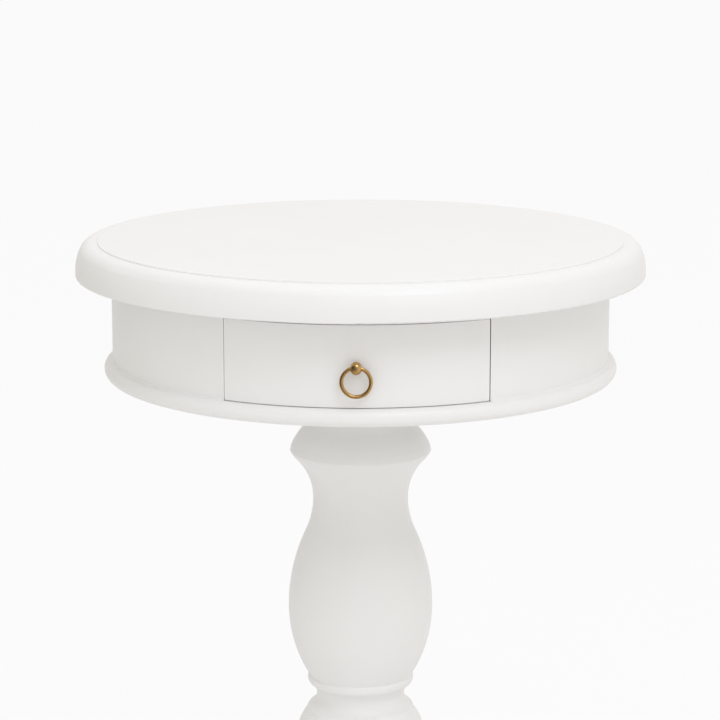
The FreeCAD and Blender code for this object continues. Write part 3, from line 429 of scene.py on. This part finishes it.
piece = bpy.data.objects.new("joint_filler", mesh)
bpy.context.scene.collection.objects.link(piece)
mesh.materials.append(nodes["apron_wall"].material_slots[0].material)
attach(piece, "table")
print(f"filler: {len(mesh.polygons)} faces")

# %% [markdown]
# Bare wood inside
#
# Nobody paints what doesn't show. The drawer's box, the runners and the blocks are planed
# softwood. Painting each board's grain by hand would take long and wouldn't meet at the edges,
# so the grain group does all of it, turned to run along each board.

# %% Plane the softwood
PINE = {"Pale": (0.73, 0.53, 0.31, 1), "Dark": (0.53, 0.30, 0.13, 1),
        "Ring_width": 5.5 * MM, "Fibre": 0.55}
ALONG = {"x": (0, 0, 0), "y": (0, 0, math.radians(90)), "z": (0, math.radians(90), 0)}


def solid_wood(name, way, wood):
    """Bare wood of one kind, with its grain along one axis."""
    material, tree, shader, place = start_material(name)
    turn = add(tree, "Mapping")
    feed(tree, turn.inputs["Vector"], place)
    feed(tree, turn.inputs["Rotation"], ALONG[way])
    grain = place_group(tree, wood_group, Vector=turn.outputs[0], **wood)
    feed(tree, shader.inputs["Base Color"], grain["Color"])
    feed(tree, shader.inputs["Roughness"], grain["Roughness"])
    raise_surface(tree, shader, grain["Height"])
    return material


dress(solid_wood("pine along the drawer", "y", PINE), "drawer_side_left", "drawer_side_right",
      "drawer_runner_left", "drawer_runner_right", "kicker_left", "kicker_right")
dress(solid_wood("pine across the drawer", "x", PINE), "drawer_back", "front_stop", "rear_stop")
dress(solid_wood("pine blocks", "z", PINE), "upper_blocks", "lower_blocks")

# %% [markdown]
# Plywood
#
# The drawer's bottom is thin birch plywood. It is sliced round the log, so its face shows wide
# rings, and its edge shows the glued layers. A modelled stack of sheets would add faces that
# nobody sees, so the layers are counted by height, with a dark line of glue between them.

# %% Glue up the plywood
PLY_PALE = (0.76, 0.60, 0.40, 1)
PLY_DARK = (0.62, 0.43, 0.25, 1)
PLY_GLUE = (0.30, 0.19, 0.11, 1)
PLY_LAYERS = 3
GLUE_SHARE = 0.07
GLUE_STRENGTH = 0.8
FACE_SHARE = (0.1, 0.2)
panel_low, panel_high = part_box("drawer_bottom")
material, tree, shader, place = start_material("birch plywood")
grain = place_group(tree, wood_group, Vector=place, Pale=PLY_PALE, Dark=PLY_DARK,
                    Ring_width=16 * MM, Fibre=0.35)
height = add(tree, "SeparateXYZ")
feed(tree, height.inputs[0], place)
layer = maths(tree, "MULTIPLY", maths(tree, "SUBTRACT", height.outputs["Z"], panel_low.z),
              PLY_LAYERS / (panel_high.z - panel_low.z))
glue = maths(tree, "PINGPONG", layer, 0.5)
inside = maths(tree, "MULTIPLY", levels(tree, layer, *FACE_SHARE),
               levels(tree, layer, PLY_LAYERS - FACE_SHARE[1], PLY_LAYERS - FACE_SHARE[0],
                      1.0, 0.0))
seam = maths(tree, "MULTIPLY", levels(tree, glue, 0.0, GLUE_SHARE, GLUE_STRENGTH, 0.0), inside)
feed(tree, shader.inputs["Base Color"], blend_colours(tree, seam, grain["Color"], PLY_GLUE))
feed(tree, shader.inputs["Roughness"], grain["Roughness"])
raise_surface(tree, shader, grain["Height"])
dress(material, "drawer_bottom")

# %% [markdown]
# Beech dowels
#
# Dowels are beech, which is redder and finer than pine. Their grain runs along them, so those in
# the column stand and those in the drawer front lie. The same wood function makes both.

# %% Cut the dowels
BEECH = {"Pale": (0.64, 0.42, 0.25, 1), "Dark": (0.48, 0.28, 0.15, 1),
         "Ring_width": 1.5 * MM, "Fibre": 0.8}
dress(solid_wood("beech upright", "z", BEECH), "column_dowels")
dress(solid_wood("beech level", "y", BEECH), "front_dowels")

# %% [markdown]
# Aged brass
#
# The post and the ring are brass, and the years have browned it. Rubbed places stay golden.
# The colour of a metal is the colour of its reflections, so it is set dark here, because a
# white room shines in it from all sides. The marks group mixes the brown into the gold and
# dulls it there, and hair lines break up its sheen.

# %% Age the brass
BRASS_GOLD = (0.62, 0.40, 0.16, 1)
BRASS_BROWN = (0.44, 0.26, 0.085, 1)
BRASS_SHEEN = (0.14, 0.26)
BRASS_HAIR = 0.08
TARNISH_HEIGHT = 0.01 * MM
material, tree, shader, place = start_material("aged brass", Metallic=1.0)
age = place_group(tree, marks_group, Vector=place, Patch_size=5 * MM, Contrast=0.3)
feed(tree, shader.inputs["Base Color"],
     blend_colours(tree, age["Mask"], BRASS_GOLD, BRASS_BROWN))
hair = place_group(tree, hair_group, Vector=place, Line_width=0.12 * MM)
dull = levels(tree, age["Mask"], 0.0, 1.0, *BRASS_SHEEN)
feed(tree, shader.inputs["Roughness"],
     maths(tree, "MULTIPLY_ADD", hair["Mask"], BRASS_HAIR, dull))
raise_surface(tree, shader, maths(tree, "MULTIPLY", age["Mask"], TARNISH_HEIGHT))
dress(material, "pull_post", "pull_ring", "pull_washer", "pull_nut")

# %% [markdown]
# Bright zinc
#
# Screws, rod, nuts and washers are zinc plated steel, which is a pale, slightly blue metal with
# a soft gloss. It is made as the brass is, from the same two groups, with other colours and a
# duller sheen.

# %% Plate the steel
ZINC_BRIGHT = (0.66, 0.67, 0.69, 1)
ZINC_GREY = (0.48, 0.49, 0.50, 1)
ZINC_SHEEN = (0.27, 0.42)
ZINC_HAIR = 0.1
material, tree, shader, place = start_material("zinc plated steel", Metallic=1.0)
marks = place_group(tree, marks_group, Vector=place, Patch_size=4 * MM, Contrast=0.3)
hair = place_group(tree, hair_group, Vector=place, Line_width=0.15 * MM)
feed(tree, shader.inputs["Base Color"],
     blend_colours(tree, marks["Mask"], ZINC_BRIGHT, ZINC_GREY))
soft = levels(tree, marks["Mask"], 0.0, 1.0, *ZINC_SHEEN)
feed(tree, shader.inputs["Roughness"],
     maths(tree, "MULTIPLY_ADD", hair["Mask"], ZINC_HAIR, soft))
dress(material, "tie_rod", "rod_washers", "rod_nuts", "top_screws", "floor_screws",
      "runner_screws", "kicker_screws", "front_stop_screws", "rear_stop_screws", "cap_screws",
      "bell_screws", "pad_screws", "drawer_back_screws", "drawer_panel_screws")

# %% [markdown]
# Nylon pads
#
# The pads under the foot are moulded nylon. Moulds for such pads are etched, so the plastic has
# a fine matt pebble, and the floor wears it grey.

# %% Mould the pads
NYLON_CLEAN = (0.70, 0.69, 0.66, 1)
NYLON_WORN = (0.55, 0.53, 0.50, 1)
NYLON_SHEEN = (0.48, 0.62)
PEBBLE_SIZE = 0.6 * MM
PEBBLE_HEIGHT = 0.03 * MM
material, tree, shader, place = start_material("moulded nylon")
marks = place_group(tree, marks_group, Vector=place, Patch_size=8 * MM, Contrast=0.4)
feed(tree, shader.inputs["Base Color"],
     blend_colours(tree, marks["Mask"], NYLON_CLEAN, NYLON_WORN))
feed(tree, shader.inputs["Roughness"], levels(tree, marks["Mask"], 0.0, 1.0, *NYLON_SHEEN))
pebble = noise(tree, place, 1 / PEBBLE_SIZE, 2.0)
raise_surface(tree, shader, maths(tree, "MULTIPLY", pebble, PEBBLE_HEIGHT))
dress(material, "foot_pads")

# %% [markdown]
# The studio
#
# A white sweep stands behind the table and to its right. The rest of the room, to the left and
# behind the camera, is dim. The camera never sees that side, but brass does: its dark flanks
# are what make the ring look round. So a group gives a mask that falls towards the dim side,
# for a direction or for a place, and mirrored rays see less glow there.

# %% Group: dim side of the studio
BRIGHT_SIDE = (0.75, 0.42, 0.5)
studio_group, source, target = new_group(
    "dim side of the studio",
    [("Vector", "Vector"), ("From", "Float", -0.5), ("To", "Float", 0.5),
     ("Dimmest", "Float", 0.1)],
    [("Mask", "Float")])
side = add(studio_group, "VectorMath", operation="DOT_PRODUCT")
feed(studio_group, side.inputs[0], source["Vector"])
feed(studio_group, side.inputs[1], BRIGHT_SIDE)
feed(studio_group, target["Mask"], levels(
    studio_group, side.outputs["Value"], source["From"], source["To"], source["Dimmest"], 1.0))
print("group:", studio_group.name)

# %% [markdown]
# Rays that see the background
#
# The photograph's background is brighter than anything that should light the table. A ray says
# where it comes from, so the floor and the room can glow only for rays from the camera and for
# mirrored rays, and leave the light on the paint as it is. Rays from the camera see the glow
# in full, and mirrored rays see it dimmed on the dim side.

# %% Tell the rays apart
BACKGROUND = (0.986, 0.977, 0.986, 1)
BLACK = (0, 0, 0, 1)
DIM_SIDE = 0.1


def background_glow(tree, vector, first, last):
    """Return the background's colour at a place or direction, and a mask of rays that see it."""
    path = add(tree, "LightPath")
    seen = maths(tree, "MAXIMUM", path.outputs["Is Camera Ray"], path.outputs["Is Glossy Ray"])
    dim = place_group(tree, studio_group, Vector=vector, From=first, To=last, Dimmest=DIM_SIDE)
    share = maths(tree, "MAXIMUM", path.outputs["Is Camera Ray"], dim["Mask"])
    return blend_colours(tree, share, BLACK, BACKGROUND), seen


print("background", BACKGROUND[:3])

# %% [markdown]
# The floor
#
# The floor of the photograph is so bright that it melts into the wall, and only a trace of
# shadow is left. A floor that is really that bright would throw too much light on the table, so
# it is an ordinary pale grey, with the glow laid over it. The glow covers most of the real
# shading and not all of it, so that the shadow stays.

# %% Lay the floor
FLOOR_GREY = (0.92, 0.92, 0.92, 1)
FLOOR_ROUGHNESS = 0.9
FLOOR_RADIUS = 16.0
FLOOR_SEGMENTS = 128
FLOOR_DROP = 0.1 * MM
FLOOR_GLOW = 0.9
FLOOR_DIMS = (-1.5, 0.5)
mesh = bpy.data.meshes.new("studio_floor")
disc = bmesh.new()
bmesh.ops.create_circle(disc, cap_ends=True, segments=FLOOR_SEGMENTS, radius=FLOOR_RADIUS)
bmesh.ops.translate(disc, verts=disc.verts, vec=(0, 0, -FLOOR_DROP))
disc.to_mesh(mesh)
disc.free()
floor = bpy.data.objects.new("studio_floor", mesh)
bpy.context.scene.collection.objects.link(floor)

material = bpy.data.materials.new("pale studio floor")
material.use_nodes = True
tree = material.node_tree
shader = tree.nodes["Principled BSDF"]
shader.inputs["Base Color"].default_value = FLOOR_GREY
shader.inputs["Roughness"].default_value = FLOOR_ROUGHNESS
colour, seen = background_glow(tree, add(tree, "TexCoord").outputs["Object"], *FLOOR_DIMS)
glow = add(tree, "Emission")
feed(tree, glow.inputs["Color"], colour)
mix = add(tree, "MixShader")
feed(tree, mix.inputs[0], maths(tree, "MULTIPLY", seen, FLOOR_GLOW))
feed(tree, mix.inputs[1], shader.outputs[0])
feed(tree, mix.inputs[2], glow.outputs[0])
feed(tree, tree.nodes["Material Output"].inputs["Surface"], mix.outputs[0])
mesh.materials.append(material)
print(f"floor of {FLOOR_RADIUS} m")

# %% [markdown]
# Light in the air
#
# Light comes from all sides in a white studio, off walls and ceiling. It is a little warm. The
# world does that with one even colour, and shows the background to the same rays as the floor.

# %% Light the air
ROOM_LIGHT = 0.83
ROOM_WARM = (1.0, 0.972, 0.895, 1)
ROOM_DIMS = (-0.5, 0.4)
world = bpy.data.worlds.new("white studio")
bpy.context.scene.world = world
world.use_nodes = True
tree = world.node_tree
lit = tree.nodes["Background"]
feed(tree, lit.inputs["Color"], ROOM_WARM)
feed(tree, lit.inputs["Strength"], ROOM_LIGHT)
colour, seen = background_glow(tree, add(tree, "TexCoord").outputs["Generated"], *ROOM_DIMS)
wall = add(tree, "Background")
feed(tree, wall.inputs["Color"], colour)
mix = add(tree, "MixShader")
feed(tree, mix.inputs[0], seen)
feed(tree, mix.inputs[1], lit.outputs[0])
feed(tree, mix.inputs[2], wall.outputs[0])
feed(tree, tree.nodes["World Output"].inputs["Surface"], mix.outputs[0])
print(f"room light {ROOM_LIGHT}, {ROOM_WARM[:3]}")

# %% [markdown]
# Soft boxes
#
# The shadow of the ring falls to the lower left, so the main light stands to the right of the
# camera and above it. It is a large soft box, because that shadow has no sharp edge. One hangs
# overhead and one above the camera, and two low ones stand in for light off the floor. The
# boxes are bluer than the room, so the lit sides of the paint are cool and its shaded sides are
# warm, as they are in the photograph.

# %% Hang the lamps
TARGET = Vector((0, 0, 0.45))
BOX_COOL = (0.985, 1.025, 1.18)
# Each lamp has a name, a place, the length of its sides in metres and a power in watts.
LAMPS = [
    ("key_softbox", (0.95, -1.85, 2.85), 1.2, 17.0),
    ("front_softbox", (0.0, -2.2, 2.8), 1.6, 6.0),
    ("top_softbox", (0.0, 0.3, 2.9), 2.2, 7.0),
    ("low_softbox", (0.0, -2.6, 0.9), 1.6, 1.8),
    ("left_softbox", (-1.7, -2.0, 0.9), 1.6, 1.1),
]
for name, spot, size, power in LAMPS:
    lamp = bpy.data.lights.new(name, "AREA")
    lamp.shape = "SQUARE"
    lamp.size = size
    lamp.energy = power
    lamp.color = BOX_COOL
    holder = bpy.data.objects.new(name, lamp)
    holder.location = spot
    holder.rotation_euler = (TARGET - Vector(spot)).to_track_quat("-Z", "Y").to_euler()
    bpy.context.scene.collection.objects.link(holder)
    print(f"{name}: {power} W at {spot}")

# %% [markdown]
# The camera
#
# The ellipse of the top says how far down the camera looks, and the difference between its
# near and its far edge says how far away it stands. Both were worked out on the photograph.
# The drawer sits a little left of the middle of the top, so the camera stands a little to the
# right of the drawer's own middle line.

# %% Stand the camera
CAMERA_DISTANCE = 2.26
CAMERA_HEIGHT = 0.9776
CAMERA_TURN = math.radians(0.91)
AIM_TURN = math.radians(0.923)
CAMERA_PITCH = math.radians(11.705)
SENSOR_WIDTH = 36.0
FOCAL_LENGTH = 130.0
lens = bpy.data.cameras.new("studio_camera")
lens.sensor_width = SENSOR_WIDTH
lens.lens = FOCAL_LENGTH
camera = bpy.data.objects.new("studio_camera", lens)
camera.location = (CAMERA_DISTANCE * math.sin(CAMERA_TURN),
                   -CAMERA_DISTANCE * math.cos(CAMERA_TURN), CAMERA_HEIGHT)
camera.rotation_euler = (math.radians(90) - CAMERA_PITCH, 0, AIM_TURN)
bpy.context.scene.collection.objects.link(camera)
bpy.context.scene.camera = camera
bpy.context.scene.view_settings.view_transform = "Standard"
print(f"camera {CAMERA_DISTANCE} m away, {CAMERA_HEIGHT} m up, {FOCAL_LENGTH} mm lens")
